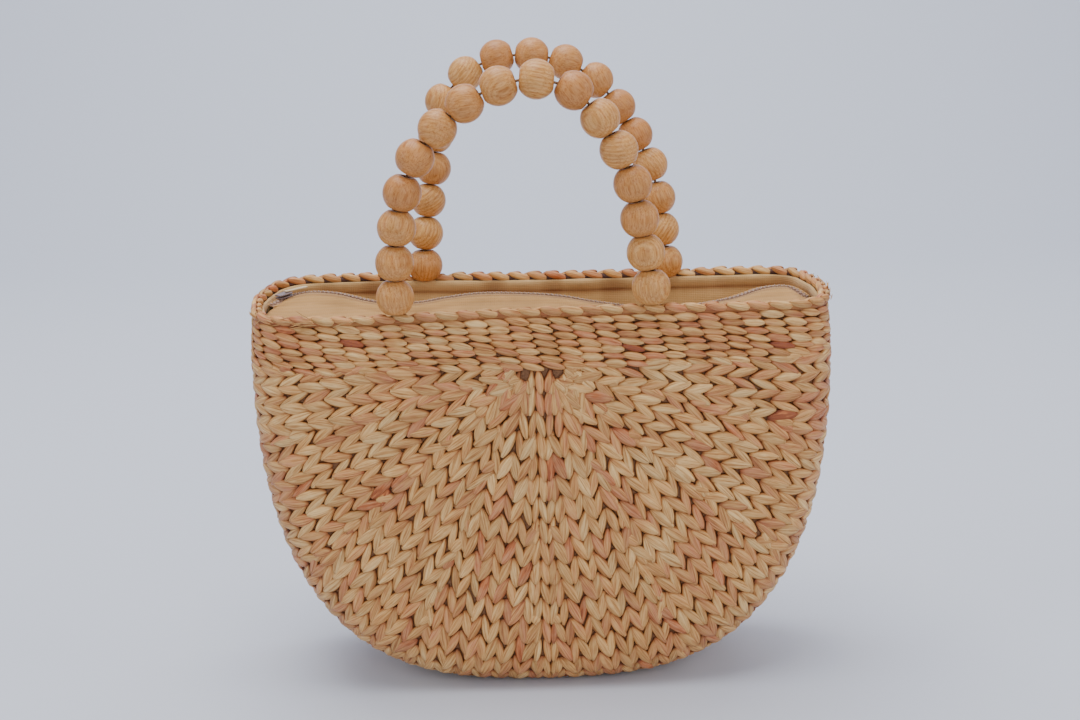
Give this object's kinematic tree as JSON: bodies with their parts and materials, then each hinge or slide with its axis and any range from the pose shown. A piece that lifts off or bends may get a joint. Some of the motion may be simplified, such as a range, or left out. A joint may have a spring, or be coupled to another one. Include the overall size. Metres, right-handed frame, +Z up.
{
  "type": "straw basket bag",
  "caption": "Half-moon woven straw basket bag with two wooden bead handles, a plaited edge, a cotton lining at the mouth and a closed zip.",
  "frame": {"origin": "on the floor under the middle of the bag", "axes": "+Z up, +X to the right of the front panel, +Y towards the back panel"},
  "size_m": [0.315, 0.1214, 0.3484],
  "materials": {
    "straw": "flat woven straw strands, satin",
    "rim_straw": "plaited straw strands, satin",
    "cotton": "plain woven cotton, matt",
    "bead_wood": "light wood with a satin varnish",
    "nylon": "clear thread",
    "zip_plastic": "moulded teeth on a woven tape"
  },
  "bodies": {
    "root": {"basket_body": "straw", "rim_braid": "rim_straw", "lining_band": "cotton", "zip_panel_front": "cotton", "zip_panel_back": "cotton", "zip_teeth": "zip_plastic", "zip_slider": "zip_plastic", "thread_front": "nylon", "thread_back": "nylon", "bead_front_01": "bead_wood", "bead_front_02": "bead_wood", "bead_front_03": "bead_wood", "bead_front_04": "bead_wood", "bead_front_05": "bead_wood", "bead_front_06": "bead_wood", "bead_front_07": "bead_wood", "bead_front_08": "bead_wood", "bead_front_09": "bead_wood", "bead_front_10": "bead_wood", "bead_front_11": "bead_wood", "bead_front_12": "bead_wood", "bead_front_13": "bead_wood", "bead_front_14": "bead_wood", "bead_front_15": "bead_wood", "bead_front_16": "bead_wood", "bead_back_01": "bead_wood", "bead_back_02": "bead_wood", "bead_back_03": "bead_wood", "bead_back_04": "bead_wood", "bead_back_05": "bead_wood", "bead_back_06": "bead_wood", "bead_back_07": "bead_wood", "bead_back_08": "bead_wood", "bead_back_09": "bead_wood", "bead_back_10": "bead_wood", "bead_back_11": "bead_wood", "bead_back_12": "bead_wood", "bead_back_13": "bead_wood", "bead_back_14": "bead_wood", "bead_back_15": "bead_wood", "bead_back_16": "bead_wood", "bead_back_17": "bead_wood"}
  },
  "joints": []
}
